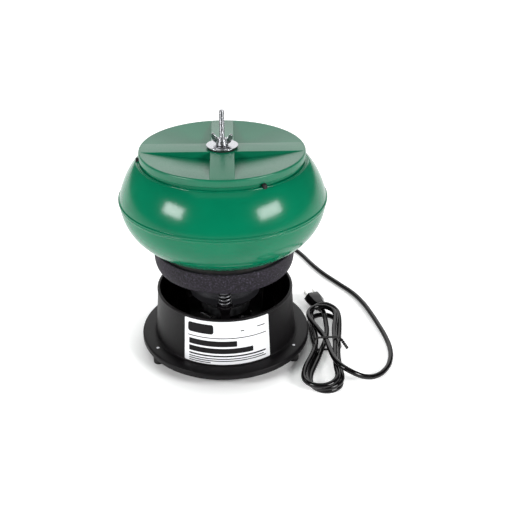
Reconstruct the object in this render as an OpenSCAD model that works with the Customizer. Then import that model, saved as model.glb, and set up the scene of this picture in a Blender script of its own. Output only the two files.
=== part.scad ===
// Vibratory tumbler: a sprung bowl with a motor and an eccentric weight under it, on a round base.
// Millimetres, +Z up. The origin is on the floor under the middle of the bowl, and the front faces -Y.

/* [Bowl] */
// Largest radius of the bowl's wall, at the seam
bowl_r = 129; // [127:0.5:130]
// Height of the seam between the two bowl shells
seam_z = 218.7; // [217:0.1:220]
// How far the seam's lip stands out from the wall
seam_lip = 1.2; // [0.6:0.1:1.6]
// Thickness of the bowl's wall
bowl_wall = 3; // [2.4:0.2:3.4]
// Height of the bowl's flat underside
bowl_floor_z = 156.5; // [156:0.5:157]
// Radius of the shoulder where the neck starts
shoulder_r = 103; // [102.5:0.1:103.5]
// Height of the shoulder
shoulder_z = 267; // [266.5:0.1:267.5]
// Outer radius of the neck under the lid's skirt
neck_r = 99.4; // [99.2:0.1:99.4]
// Height of the top of the hollow cone in the middle of the bowl
hub_z = 229; // [220:1:232]

/* [Lid] */
// Outer radius of the lid
lid_r = 101.7; // [101.6:0.1:102.2]
// Height of the lid's rim and of its ribs
lid_z = 280.7; // [280.6:0.1:281]
// Width of the two crossing ribs
rib_w = 29; // [24:1:32]
// Depth of the lid's dished quarters at the middle
dish_drop = 10.5; // [8:0.5:11]
// Thickness of the lid
lid_wall = 2.2; // [2:0.1:2.2]

/* [Clamp] */
// Radius of the centre rod
rod_r = 3.175; // [3:0.005:3.2]
// Height of the rod's top end
rod_top = 328; // [320:1:332]
// Radius of the flat washer on the lid
washer_r = 19.5; // [16:0.5:21]
// Thickness of the flat washer
washer_t = 1.6; // [1.2:0.2:2]
// Thickness of the rubber washer under it
seal_t = 2; // [1.5:0.5:2.5]

/* [Motor plate] */
// Outer radius of the motor plate's skirt
plate_r = 90.5; // [90:0.5:91]
// Height of the top of the plate's lip
plate_top = 152.3; // [152:0.1:152.6]
// Height of the underside of the plate's web
web_z = 146; // [146:0.5:146.5]
// Radius of the skirt at its lower edge
skirt_foot_r = 85; // [84:0.5:86]
// Height of the skirt's lower edge
skirt_z = 123.2; // [120:0.1:126]

/* [Springs] */
// Distance from the axis to each spring
spring_circle = 68; // [67:0.5:69]
// Mean radius of a spring's coil
coil_r = 7.4; // [7.2:0.1:7.6]
// Radius of the spring wire
wire_r = 1.1; // [0.9:0.1:1.2]
// Number of turns
turns = 8.75; // [7.75:0.5:9.75]
// Height of the lower spring seat
seat_z = 98; // [94:1:100]

/* [Base] */
// Radius of the base's wall where it meets the flange
wall_foot_r = 94; // [93:0.5:95]
// Radius of the base's wall at the rim
wall_top_r = 89; // [88.5:0.5:89.5]
// Height of the base's rim
rim_z = 89; // [86:0.5:90]
// Outer radius of the flange
flange_r = 113; // [112:0.5:114]
// Height of the flange's top and of the base's floor
flange_z = 22.5; // [22:0.5:24]
// Thickness of the base's wall and floor
base_wall = 3; // [2.6:0.2:3.2]
// Distance from the axis to each foot
foot_circle = 103; // [102:0.2:104]
// Radius of a foot
foot_r = 6.9; // [6.5:0.1:7]

/* [Label] */
// Angle that the label covers
label_angle = 71; // [40:1:80]
// Height of the label's lower edge
label_z = 25; // [25:1:40]
// Height of the label's upper edge
label_top = 85; // [70:1:85]

/* [Motor] */
// Outer radius of the stator core
stator_r = 46; // [44:0.5:47]
// Radius of the rotor
rotor_r = 22; // [20:0.5:22]
// Radius of the motor's shaft
shaft_r = 4; // [3:0.5:4]
// Radius of the eccentric weight
weight_r = 32; // [28:1:34]

/* [Cord] */
// Diameter of the power cord
cord_d = 7; // [6:0.5:7.5]
// Height of the cord's exit in the rear wall
exit_z = 42; // [40:1:46]
// Thickness of the tied hank
hank_h = 22; // [20:1:24]

/* [Hidden] */

GREEN = "#00785a";
BLACK = "#211c20";
CHARCOAL = "#35303a";
RUBBER = "#18171a";
ZINC = "#c4c6ca";
BRASS = "#b08a3e";
COPPER = "#b5652e";
LAMINATION = "#6d7076";

gap = 0.3;            // between pieces that move on each other
fit = 0.02;           // radial clearance of a pressed piece
run = 0.05;           // radial clearance of a running piece
arc_steps = 16;       // straight parts in each curved outline
helix_steps = 16;     // rings in each turn of a spring
$fn = 64;

neck_top = lid_z - lid_wall - 0.6;
neck_inner = neck_r - bowl_wall;
low_cx = 70;          // centre of the lower shell's quarter ellipse
hub_top_r = 14;
hub_foot_r = 46;
rod_hole = 3.4;
skirt_bottom = lid_z - 9.2;
dish_r = 99.4;
dish_hub_r = 13;
dish_slope = (dish_drop - 0.1) / (dish_r - dish_hub_r);
seal_z = lid_z;
washer_z = seal_z + seal_t;
nut_z = washer_z + washer_t;
web_t = 4;
plate_wall = 3.5;
cap_t = 2;
rim_bead = 0.6;
label_t = 0.4;
screw_r = 2;
screw_hole = 2.2;

// Motor heights, from the top down
upper_plate_z = 122;
bracket_t = 3;
stator_z = 91;
stator_h = 25;
lower_plate_z = 82;
bolt_circle = 41;
weight_z = 56;
weight_h = 12;
fan_z = 40;
fan_h = 9;
shaft_z = 36;
shaft_top = 130;

// The cord lies from the strain relief, round behind the base and past its right side, to the hank.
relief_len = 30;
cord_r = cord_d / 2;
exit_y = 122;
ROUTE = [
    [0, exit_y, exit_z], [0, 138, 41], [1, 156, 37], [4, 175, 29], [8, 194, 19], [13, 213, 10],
    [20, 231, 5], [31, 248, 3.6], [46, 261, 3.6], [64, 268, 3.6], [83, 268, 3.6], [101, 261, 3.6],
    [115, 248, 3.6], [125, 230, 3.6], [137, 201, 3.6], [151, 172, 3.6], [174, 135, 3.6],
    [191, 108, 3.6], [202, 81, 3.6], [210, 49, 3.6], [216, 17, 3.6], [220, -10, 3.6],
    [221, -38, 3.6], [217, -62, 3.6], [207, -83, 3.6], [192, -98, 4.8], [177, -105, 9],
    [165, -107, 15], [155, -104.5, 19.5], [149, -100, 20.5]
];
ROUTE_RINGS = 44;

// The rubber stops' places round the neck, from the front
STOP_ANGLES = [27.5, 150, 274];

// The hank: two lobes that the tie draws together
UPPER_LOBE = [[138.5, 33.5, 25], [136, -30, 18]];
LOWER_LOBE = [[136, -36, 18], [122.8, -101.5, 28]];
tie_y = -33;
tie_w = 5;
tie_t = 0.8;

// The plug lies with its blades pointing away from the hank.
plug_at = [128.5, 90, 9];
plug_turn = 106;
plug_len = 28;
plug_tail = 10;

// ---- shared shapes ----

// Points of an elliptic arc from angle a0 to a1
function arc(cx, cz, rx, rz, a0, a1, n = arc_steps) =
    [for (i = [0:n]) let (a = a0 + (a1 - a0) * i / n) [cx + rx * cos(a), cz + rz * sin(a)]];

// The upper shell's wall: a quarter curve that is a little flatter than an ellipse
function shoulder_curve(inset, a0, a1, n = arc_steps) = [
    for (i = [0:n]) let (a = a0 + (a1 - a0) * i / n)
        [shoulder_r - inset + (bowl_r - shoulder_r) * pow(cos(a), 1.45),
         seam_z + (shoulder_z - seam_z) * pow(sin(a), 1.45)]
];

function reversed(p) = [for (i = [len(p) - 1:-1:0]) p[i]];

// Radius of the base's outer wall at a height
function wall_r(z) = wall_foot_r + (wall_top_r - wall_foot_r) * (z - flange_z) / (rim_z - flange_z);

// One point of a smooth curve through a list of points
function on_curve(p, t) =
    let (n = len(p) - 1, i = min(floor(t * n), n - 1), u = t * n - i,
         a = p[max(i - 1, 0)], b = p[i], c = p[i + 1], d = p[min(i + 2, n)])
    0.5 * (2 * b + (c - a) * u + (2 * a - 5 * b + 4 * c - d) * u * u
           + (3 * b - 3 * c + d - a) * u * u * u);

function unit(v) = v / norm(v);

// A closed tube of radius r round a list of centre points
module tube(points, r, sides = 8) {
    last = len(points) - 1;
    rings = [for (i = [0:last])
        let (along = unit(points[min(i + 1, last)] - points[max(i - 1, 0)]),
             side = unit(cross(along, abs(along.z) > 0.9 ? [1, 0, 0] : [0, 0, 1])),
             up = cross(side, along))
        for (k = [0:sides - 1]) let (a = (k + 0.5) * 360 / sides)
            points[i] + r * (cos(a) * side + sin(a) * up)];
    walls = [for (i = [0:last - 1], k = [0:sides - 1])
        [i * sides + k, i * sides + (k + 1) % sides, (i + 1) * sides + (k + 1) % sides,
         (i + 1) * sides + k]];
    ends = [[for (k = [sides - 1:-1:0]) k], [for (k = [0:sides - 1]) last * sides + k]];
    polyhedron(rings, concat(walls, ends), convexity = 10);
}

module ring(r_out, r_in, h) {
    difference() {
        cylinder(r = r_out, h = h);
        translate([0, 0, -1]) cylinder(r = r_in, h = h + 2);
    }
}

module hex_nut(across_r, bore, h) {
    difference() {
        cylinder(r = across_r, h = h, $fn = 6);
        translate([0, 0, -1]) cylinder(r = bore, h = h + 2);
    }
}

// Copies round the axis: n of them, at a distance, the first one at an angle from the front
module around(n, distance, first = 0) {
    for (i = [0:n - 1])
        rotate([0, 0, first + i * 360 / n]) translate([0, -distance, 0]) children();
}

// ---- base ----

module base_housing() {
    lip_z = 14;
    color(BLACK) difference() {
        union() {
            rotate_extrude() polygon([
                [0, flange_z - base_wall], [flange_r - base_wall, flange_z - base_wall],
                [flange_r - base_wall, lip_z + 0.5], [flange_r - base_wall + 0.5, lip_z],
                [flange_r - 0.6, lip_z], [flange_r, lip_z + 0.8], [flange_r, flange_z - 2.4],
                [flange_r - 0.8, flange_z - 0.8], [flange_r - 2.6, flange_z],
                [wall_foot_r + 2, flange_z], [wall_foot_r + 0.5, flange_z + 0.6],
                [wall_r(flange_z + 2.2), flange_z + 2.2], [wall_r(rim_z - 3), rim_z - 3],
                [wall_r(rim_z - 2.4) + rim_bead, rim_z - 2.4], [wall_top_r + rim_bead, rim_z - 0.8],
                [wall_top_r + 0.3, rim_z], [wall_top_r - base_wall + 0.6, rim_z],
                [wall_top_r - base_wall, rim_z - 0.8], [wall_foot_r - base_wall, flange_z + 1],
                [wall_foot_r - base_wall - 1, flange_z], [0, flange_z]
            ]);
            // posts that the spring seats stand on
            around(3, spring_circle)
                translate([0, 0, flange_z - 1]) cylinder(r1 = 9, r2 = 5.6, h = seat_z - 14 - flange_z + 1);
        }
        around(3, foot_circle, 60) cylinder(r = screw_hole, h = 60);
        translate([0, 0, exit_z]) rotate([-90, 0, 0]) cylinder(r = 6, h = 120);
        // air slots in the floor
        around(12, 40, 15) translate([-3, -12, 0]) cube([6, 24, 60]);
    }
}

module rating_label() {
    color("white") rotate([0, 0, 271.5 - label_angle / 2]) rotate_extrude(angle = label_angle)
        polygon([[wall_r(label_z), label_z], [wall_r(label_z) + label_t, label_z],
                 [wall_r(label_top) + label_t, label_top], [wall_r(label_top), label_top]]);
}

// A rubber foot: screwed up against the flange, with a pocket for its nut
module foot(angle) {
    color(RUBBER) around(1, foot_circle, angle) difference() {
        union() {
            cylinder(r1 = foot_r - 0.8, r2 = foot_r, h = 1);
            translate([0, 0, 1]) cylinder(r = foot_r, h = flange_z - base_wall - 1);
        }
        translate([0, 0, -1]) cylinder(r = 4.6, h = 9);
        cylinder(r = screw_hole, h = 40);
    }
}

module foot_screws() {
    color(ZINC) around(3, foot_circle, 60) {
        translate([0, 0, 4]) cylinder(r = screw_r, h = flange_z - 4);
        translate([0, 0, flange_z]) cylinder(r1 = 3.9, r2 = 3, h = 2.4);
    }
}

module foot_nuts() {
    color(ZINC) around(3, foot_circle, 60) translate([0, 0, 4.8]) hex_nut(3.9, screw_r + fit, 3.2);
}

// A flared seat on top of each post, with a peg inside the spring
module spring_seats() {
    color(BLACK) around(3, spring_circle) {
        translate([0, 0, seat_z - 14]) cylinder(r1 = 5.6, r2 = 9.8, h = 12);
        translate([0, 0, seat_z - 2]) cylinder(r = 9.8, h = 2);
        translate([0, 0, seat_z]) cylinder(r = 5.6, h = 8);
    }
}

module spring(angle) {
    low = seat_z + wire_r;
    high = web_z - cap_t - wire_r;
    steps = turns * helix_steps;
    color(ZINC) around(1, spring_circle, angle)
        tube([for (i = [0:steps]) [coil_r * cos(i * 360 / helix_steps), coil_r * sin(i * 360 / helix_steps),
                                   low + (high - low) * i / steps]], wire_r, 6);
}

// The cord's strain relief: a plug in the rear wall with a tapered sleeve outside
module strain_relief() {
    wall_y = wall_r(exit_z);
    color(RUBBER) translate([0, 0, exit_z]) rotate([-90, 0, 0]) {
        translate([0, 0, wall_y - 7]) cylinder(r = 7.5, h = 3);
        translate([0, 0, wall_y - 4.5]) cylinder(r = 5.9, h = 6);
        translate([0, 0, wall_y + 0.6]) cylinder(r = 8, h = 3);
        translate([0, 0, wall_y + 3]) cylinder(r1 = 6, r2 = cord_r + 0.9, h = exit_y - wall_y - 3);
    }
}

module cord_clamp() {
    color(BLACK) translate([0, 76, flange_z]) difference() {
        translate([-12, -5, 0]) cube([24, 10, 24.5]);
        translate([0, 0, exit_z - flange_z]) rotate([90, 0, 0]) cylinder(r = cord_r + fit, h = 12, center = true);
        for (x = [-8.5, 8.5]) translate([x, 0, -1]) cylinder(r = 1.6, h = 30);
    }
}

module clamp_screw() {
    color(ZINC) for (x = [-8.5, 8.5]) translate([x, 76, flange_z]) {
        cylinder(r = 1.5, h = 24.5);
        translate([0, 0, 24.5]) cylinder(r1 = 3, r2 = 2.4, h = 2);
    }
}

// The cord's end inside the base, from the strain relief to the terminal block
module inner_cord() {
    start_y = wall_r(exit_z) - 7;
    color(BLACK) tube([for (i = [0:8]) on_curve(
        [[0, start_y, exit_z], [0, 80, exit_z], [0, 72, exit_z], [0, 66.2, exit_z - 0.5]], i / 8)], cord_r);
}

module terminal_block() {
    color("#d8d4c6") translate([-13, 54, flange_z]) difference() {
        cube([26, 12, 24]);
        for (x = [5, 13, 21]) translate([x, 6, 16]) cylinder(r = 2.2, h = 10);
    }
}

module terminal_screws() {
    color(BRASS) for (x = [-8, 0, 8]) translate([x, 60, flange_z + 16]) cylinder(r = 2, h = 5);
}

// Two slack wires from the terminal block up to the motor
module motor_leads() {
    top = lower_plate_z - 0.5;
    color("#8a1f1c") for (s = [-1, 1])
        tube([for (i = [0:12]) on_curve(
            [[s * 4, 53.8, 40], [s * 5, 49, 43], [s * 8, 44, 52], [s * 10, 42, 66], [s * 9, 40, top]], i / 12)],
            1.3, 6);
}

// ---- cord ----

module power_cord() {
    color(BLACK) tube([for (i = [0:ROUTE_RINGS]) on_curve(ROUTE, i / ROUTE_RINGS)], cord_r);
}

module lobe(ends) {
    hull() for (e = ends) translate([e[0], e[1]]) circle(r = e[2], $fn = 32);
}

module tie_outline(grow) {
    translate([118 - grow, tie_y - tie_w / 2]) square([36 + 2 * grow, tie_w]);
}

module cord_hank() {
    color(BLACK) difference() {
        linear_extrude(hank_h) {
            lobe(UPPER_LOBE);
            lobe(LOWER_LOBE);
        }
        difference() {
            translate([100, tie_y - tie_w / 2, -1]) cube([70, tie_w, hank_h + 2]);
            translate([0, 0, tie_t]) linear_extrude(hank_h - 2 * tie_t) tie_outline(-tie_t);
        }
    }
}

module cord_tie() {
    color(RUBBER) {
        difference() {
            linear_extrude(hank_h) tie_outline(0);
            translate([0, 0, tie_t]) linear_extrude(hank_h - 2 * tie_t)
                translate([118 + tie_t, tie_y - tie_w]) square([36 - 2 * tie_t, 2 * tie_w]);
        }
        translate([154.4, tie_y, hank_h - 4]) rotate([0, 125, -50]) cylinder(r = 1.4, h = 16);
    }
}

module plug_slice(x, half_w, half_h, t) {
    translate([x, 0, 0]) rotate([90, 0, 90]) linear_extrude(t)
        polygon([[-half_w, 0], [-half_w * 0.5, half_h], [half_w * 0.5, half_h],
                 [half_w, 0], [half_w * 0.5, -half_h], [-half_w * 0.5, -half_h]]);
}

module plug_body() {
    color(RUBBER) translate(plug_at) rotate([0, 0, plug_turn]) {
        hull() {
            plug_slice(-12, 14, 9, 12);
            plug_slice(-plug_len, 8, 7, 1);
        }
        translate([-plug_len - plug_tail, 0, 0]) rotate([0, 90, 0])
            cylinder(r1 = cord_r + 1, r2 = 6, h = plug_tail + 0.5);
    }
}

module plug_blades() {
    color(BRASS) translate(plug_at) rotate([0, 0, plug_turn])
        for (y = [-6.35, 6.35]) translate([0, y - 0.75, -3.2]) difference() {
            cube([17, 1.5, 6.4]);
            translate([13, -1, 3.2]) rotate([-90, 0, 0]) cylinder(r = 1.5, h = 4);
        }
}

// ---- motor plate and bowl ----

module motor_plate() {
    drop = plate_top - skirt_z;
    color(CHARCOAL) difference() {
        rotate_extrude() polygon(concat(
            [[0, web_z], [plate_r - plate_wall - 1, web_z], [plate_r - plate_wall, web_z - 1]],
            arc(skirt_foot_r - plate_wall, plate_top - 13, plate_r - skirt_foot_r, drop - 14, 0, -75, 8),
            [[skirt_foot_r - plate_wall, skirt_z]],
            [[skirt_foot_r - 0.8, skirt_z], [skirt_foot_r + 0.2, skirt_z + 0.8]],
            reversed(arc(skirt_foot_r, plate_top - 13, plate_r - skirt_foot_r, drop - 14, 0, -75, 8)),
            [[plate_r, plate_top - 0.8], [plate_r - 0.8, plate_top], [plate_r - plate_wall + 0.6, plate_top],
             [plate_r - plate_wall, plate_top - 0.6], [plate_r - plate_wall, web_z + web_t], [0, web_z + web_t]]
        ));
        translate([0, 0, web_z - 1]) cylinder(r = rod_hole, h = 10);
        around(4, bolt_circle, 45) translate([0, 0, web_z - 1]) cylinder(r = screw_hole, h = 10);
    }
}

module spring_caps() {
    color(BLACK) around(3, spring_circle) {
        translate([0, 0, web_z - cap_t]) cylinder(r = 9.8, h = cap_t);
        translate([0, 0, web_z - 9]) cylinder(r = 5.6, h = 9 - cap_t);
    }
}

// The rubber ring that the bowl sits on
module bowl_seat() {
    color(RUBBER) translate([0, 0, web_z + web_t])
        ring(plate_r - plate_wall - 1.5, 58, bowl_floor_z - web_z - web_t);
}

module bowl_lower() {
    lip_r = bowl_r + seam_lip - 0.3;
    color(GREEN) rotate_extrude() polygon(concat(
        [[bowl_r - bowl_wall, seam_z], [lip_r - 0.4, seam_z], [lip_r, seam_z - 0.5], [lip_r, seam_z - 2.2]],
        arc(low_cx, seam_z, bowl_r - low_cx, seam_z - bowl_floor_z, -3, -90),
        [[hub_foot_r, bowl_floor_z], [hub_top_r, hub_z - 3.5], [rod_hole, hub_z - 3.5], [rod_hole, hub_z],
         [hub_top_r + 2.6, hub_z], [hub_foot_r + 4, bowl_floor_z + bowl_wall]],
        reversed(arc(low_cx, seam_z, bowl_r - bowl_wall - low_cx, seam_z - bowl_floor_z - bowl_wall, -1, -90))
    ));
}

module bowl_upper() {
    lip_r = bowl_r + seam_lip;
    inset = bowl_wall + 0.4;
    color(GREEN) rotate_extrude() polygon(concat(
        [[bowl_r - bowl_wall, seam_z], [lip_r - 0.4, seam_z], [lip_r, seam_z + 0.5], [lip_r, seam_z + 2.2]],
        shoulder_curve(0, 8, 90),
        [[neck_r, shoulder_z], [neck_r, neck_top - 0.5], [neck_r - 0.5, neck_top],
         [neck_inner + 0.5, neck_top], [neck_inner, neck_top - 0.5], [neck_inner, shoulder_z + 1.5]],
        reversed(shoulder_curve(inset, 0, 74))
    ));
}

// Everything inside the upper shell's outer face, and a little room round it
module upper_envelope() {
    room = 0.3;
    rotate_extrude() polygon(concat([[0, seam_z]], shoulder_curve(-room, 0, 90),
                                    [[shoulder_r, shoulder_z + room], [neck_r + room, shoulder_z + room],
                                     [neck_r + room, neck_top], [0, neck_top]]));
}

// Three rubber stops on the shoulder, just under the lid's skirt
module neck_stops() {
    color(RUBBER) difference() {
        for (a = STOP_ANGLES) rotate(a) translate([-2, -105.4, 262.5])
            cube([4, 8, skirt_bottom - gap - 262.5]);
        upper_envelope();
    }
}

// ---- centre rod ----

module center_rod() {
    color(ZINC) {
        translate([0, 0, 138]) cylinder(r = rod_r, h = rod_top - 138 - 0.8);
        translate([0, 0, rod_top - 0.8]) cylinder(r1 = rod_r, r2 = rod_r - 0.7, h = 0.8);
    }
}

module rod_nuts() {
    color(ZINC) for (z = [web_z - 5.6, hub_z + 1.6])
        translate([0, 0, z]) hex_nut(6.4, rod_r + fit, 5.6);
}

module rod_washer() {
    color(ZINC) translate([0, 0, hub_z]) ring(12, rod_r + 0.2, 1.6);
}

// ---- motor ----

module motor_standoffs() {
    low = upper_plate_z + bracket_t;
    color(ZINC) around(4, bolt_circle, 45) translate([0, 0, low]) ring(4.5, screw_r + fit, web_z - low);
}

// An end bracket: a plate with a skirt that clamps the stator, open between its arms
module end_bracket() {
    difference() {
        union() {
            ring(stator_r, 9 + fit, bracket_t);
            translate([0, 0, bracket_t - 9]) ring(stator_r, stator_r - 9, 9 - bracket_t + 0.1);
            translate([0, 0, bracket_t - 6]) ring(13, 9 + fit, 6);
        }
        around(4, bolt_circle, 45) translate([0, 0, -10]) cylinder(r = screw_hole, h = 20);
        around(4, 25, 0) translate([0, 0, -10]) cylinder(r = 8.5, h = 20);
    }
}

module upper_bracket() {
    color(LAMINATION) translate([0, 0, upper_plate_z]) end_bracket();
}

module lower_bracket() {
    color(LAMINATION) translate([0, 0, lower_plate_z + bracket_t]) mirror([0, 0, 1]) end_bracket();
}

module winding_slots(r) {
    around(12, rotor_r + 6, 15) translate([0, 0, stator_z - 1]) cylinder(r = r, h = stator_h + 2);
}

module stator_core() {
    color(LAMINATION) difference() {
        translate([0, 0, stator_z]) ring(stator_r, rotor_r + 0.5, stator_h);
        winding_slots(2.6);
        around(4, bolt_circle, 45) translate([0, 0, stator_z - 1]) cylinder(r = screw_hole, h = stator_h + 2);
    }
}

module stator_windings() {
    color(COPPER) {
        for (z = [stator_z - 4.5, stator_z + stator_h]) translate([0, 0, z]) ring(rotor_r + 10, rotor_r + 2, 4.5);
        winding_slots(2.5);
    }
}

module motor_bolts() {
    low = lower_plate_z - 4;
    color(ZINC) around(4, bolt_circle, 45) {
        translate([0, 0, low]) cylinder(r = screw_r, h = web_z + web_t - low);
        translate([0, 0, web_z + web_t]) cylinder(r1 = 3.9, r2 = 3, h = 2.2);
    }
}

module bolt_nuts() {
    color(ZINC) around(4, bolt_circle, 45)
        translate([0, 0, lower_plate_z - 3.2]) hex_nut(3.9, screw_r + fit, 3.2);
}

module bush() {
    color(BRASS) ring(9, shaft_r + run, 8);
}

module upper_bush() {
    translate([0, 0, upper_plate_z + bracket_t - 7]) bush();
}

module lower_bush() {
    translate([0, 0, lower_plate_z - 1]) bush();
}

module rotor_core() {
    color(LAMINATION) translate([0, 0, stator_z + 1]) difference() {
        cylinder(r = rotor_r, h = stator_h - 2);
        translate([0, 0, -1]) cylinder(r = shaft_r + fit, h = stator_h);
    }
}

module rotor_shaft() {
    color(ZINC) translate([0, 0, shaft_z]) cylinder(r = shaft_r, h = shaft_top - shaft_z);
}

// A half disc of steel on a round hub
module eccentric_weight() {
    color(ZINC) translate([0, 0, weight_z]) difference() {
        union() {
            cylinder(r = 12, h = weight_h);
            intersection() {
                cylinder(r = weight_r, h = weight_h);
                translate([-weight_r, -weight_r, 0]) cube([2 * weight_r, weight_r, weight_h]);
            }
        }
        translate([0, 0, -1]) cylinder(r = shaft_r + fit, h = weight_h + 2);
        translate([0, 0, weight_h / 2]) rotate([-90, 0, 0]) cylinder(r = 2.5 + fit, h = 20);
    }
}

module weight_screw() {
    color(BLACK) translate([0, shaft_r + 0.1, weight_z + weight_h / 2])
        rotate([-90, 0, 0]) cylinder(r = 2.5, h = 7.6);
}

module cooling_fan() {
    color("#3a3c40") translate([0, 0, fan_z]) difference() {
        union() {
            cylinder(r = 9, h = fan_h);
            intersection() {
                cylinder(r = 34, h = fan_h);
                for (i = [0:5]) rotate([0, 0, i * 60]) translate([6, 0, fan_h / 2]) rotate([32, 0, 0])
                    translate([0, -7, -0.8]) cube([30, 14, 1.6]);
            }
        }
        translate([0, 0, -1]) cylinder(r = shaft_r + fit, h = fan_h + 2);
    }
}

// ---- lid and its clamp ----

module under_dish() {
    low = lid_z - dish_drop - lid_wall;
    rotate_extrude() polygon([[0, low - 20], [0, low], [dish_hub_r, low],
                              [lid_r - 2, low + (lid_r - 2 - dish_hub_r) * dish_slope], [lid_r - 2, low - 20]]);
}

module crossed_bars(width, low, high, reach) {
    intersection() {
        translate([0, 0, low]) cylinder(r = reach, h = high - low, $fn = 128);
        for (a = [0, 90]) rotate([0, 0, a])
            translate([-lid_r, -width / 2, low]) cube([2 * lid_r, width, high - low]);
    }
}

module lid() {
    low = lid_z - dish_drop;
    color(GREEN) difference() {
        union() {
            difference() {
                union() {
                    rotate_extrude($fn = 128) polygon([
                        [0, low - lid_wall], [lid_r - 2, low - lid_wall], [lid_r - 2, skirt_bottom],
                        [lid_r - 0.4, skirt_bottom], [lid_r, skirt_bottom + 0.4], [lid_r, lid_z - 2],
                        [lid_r - 0.5, lid_z - 0.7], [lid_r - 1.6, lid_z - 0.05], [dish_r, lid_z - 0.1],
                        [dish_hub_r, low], [0, low]
                    ]);
                    crossed_bars(rib_w, low - lid_wall, lid_z, dish_r);
                }
                under_dish();
                crossed_bars(rib_w - 2 * lid_wall, low - 10, lid_z - lid_wall, neck_inner);
            }
            translate([0, 0, low - lid_wall]) cylinder(r = 9, h = dish_drop + lid_wall);
        }
        translate([0, 0, low - 10]) cylinder(r = rod_r + 0.4, h = 40);
    }
}

module seal_washer() {
    color(RUBBER) translate([0, 0, seal_z]) ring(washer_r - 1, rod_r + 0.4, seal_t);
}

module flat_washer() {
    color(ZINC) translate([0, 0, washer_z]) ring(washer_r, rod_r + 0.2, washer_t);
}

module wing_nut() {
    wing = [[3, 0.8], [7.5, 1.2], [11, 4], [13.4, 9], [13.6, 12.6], [12, 14.4], [9.4, 13.8], [7.6, 10.5], [5, 8], [3, 7.5]];
    color(ZINC) translate([0, 0, nut_z]) rotate([0, 0, -12]) difference() {
        union() {
            cylinder(r1 = 7.4, r2 = 5.3, h = 8.4);
            for (a = [0, 180]) rotate([90, 0, a]) translate([0, 0, -1.2]) linear_extrude(2.4) polygon(wing);
        }
        translate([0, 0, -1]) cylinder(r = rod_r + run, h = 20);
    }
}

base_housing();
rating_label();
foot(-60);  // foot_left
foot(60);  // foot_right
foot(180);  // foot_rear
foot_screws();
foot_nuts();
spring_seats();
spring(0);  // spring_front
spring(120);  // spring_right
spring(240);  // spring_left
strain_relief();
cord_clamp();
clamp_screw();
inner_cord();
terminal_block();
terminal_screws();
motor_leads();
power_cord();
cord_hank();
cord_tie();
plug_body();
plug_blades();
motor_plate();
spring_caps();
bowl_seat();
bowl_lower();
bowl_upper();
neck_stops();
center_rod();
rod_nuts();
rod_washer();
motor_standoffs();
upper_bracket();
lower_bracket();
stator_core();
stator_windings();
motor_bolts();
bolt_nuts();
upper_bush();
lower_bush();
rotor_core();
rotor_shaft();
eccentric_weight();
weight_screw();
cooling_fan();
lid();
seal_washer();
flat_washer();
wing_nut();
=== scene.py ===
"""Vibratory tumbler: an add-on whose operators build it in separate, finished pieces."""

import math

import bmesh
import bpy
from bpy.props import FloatProperty, FloatVectorProperty, IntProperty, PointerProperty
from bpy.types import Operator, Panel, PropertyGroup
from mathutils import Matrix, Vector


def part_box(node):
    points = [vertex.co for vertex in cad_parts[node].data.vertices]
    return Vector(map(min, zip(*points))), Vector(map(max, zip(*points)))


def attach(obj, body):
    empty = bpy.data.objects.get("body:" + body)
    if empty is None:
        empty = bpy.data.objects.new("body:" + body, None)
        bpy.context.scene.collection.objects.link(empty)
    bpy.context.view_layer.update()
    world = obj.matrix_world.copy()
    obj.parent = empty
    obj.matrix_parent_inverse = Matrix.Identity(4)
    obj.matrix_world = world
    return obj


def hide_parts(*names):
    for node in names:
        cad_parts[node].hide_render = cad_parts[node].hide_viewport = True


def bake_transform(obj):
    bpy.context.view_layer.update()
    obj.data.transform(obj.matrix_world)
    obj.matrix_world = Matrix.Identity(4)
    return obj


bl_info = {
    "name": "Vibratory Tumbler",
    "version": (1, 0, 0),
    "blender": (4, 5, 0),
    "location": "View3D > Sidebar > Tumbler",
    "description": "Adds a vibratory tumbler in separate pieces, with its materials",
    "category": "Add Mesh",
}

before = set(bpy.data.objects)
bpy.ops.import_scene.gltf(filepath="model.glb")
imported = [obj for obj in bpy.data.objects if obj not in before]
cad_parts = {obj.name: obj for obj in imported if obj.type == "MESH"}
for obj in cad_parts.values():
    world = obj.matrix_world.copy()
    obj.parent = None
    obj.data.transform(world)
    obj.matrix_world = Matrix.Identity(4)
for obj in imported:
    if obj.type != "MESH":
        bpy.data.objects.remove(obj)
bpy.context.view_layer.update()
MM = 0.001

# places in millimetres that more than one piece shares
FLANGE_Z = 22.5
RIM_Z = 89.0
SEAM_Z = 218.7
GLAND_Z = 42
SPRING_CIRCLE = 68
FOOT_CIRCLE = 103
STOP_CIRCLE = 105.4
STOP_ANGLES = (27.5, 150, 274)
TIE_Y = -33


# ---- places taken from the CAD parts ----

def low(node):
    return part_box(node)[0]


def high(node):
    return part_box(node)[1]


# ---- colours and materials ----

def linear(code):
    """The linear RGBA of an sRGB hex colour."""
    parts = [int(code[i : i + 2], 16) / 255 for i in (1, 3, 5)]
    return [c / 12.92 if c <= 0.04045 else ((c + 0.055) / 1.055) ** 2.4 for c in parts] + [1.0]


def add_node(tree, kind, inputs=None, **settings):
    """Adds a shader node, sets its options, and sets or links its inputs."""
    node = tree.nodes.new(kind)
    for key, value in settings.items():
        setattr(node, key, value)
    for key, value in (inputs or {}).items():
        if isinstance(value, bpy.types.NodeSocket):
            tree.links.new(value, node.inputs[key])
        else:
            node.inputs[key].default_value = value
    return node


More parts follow.
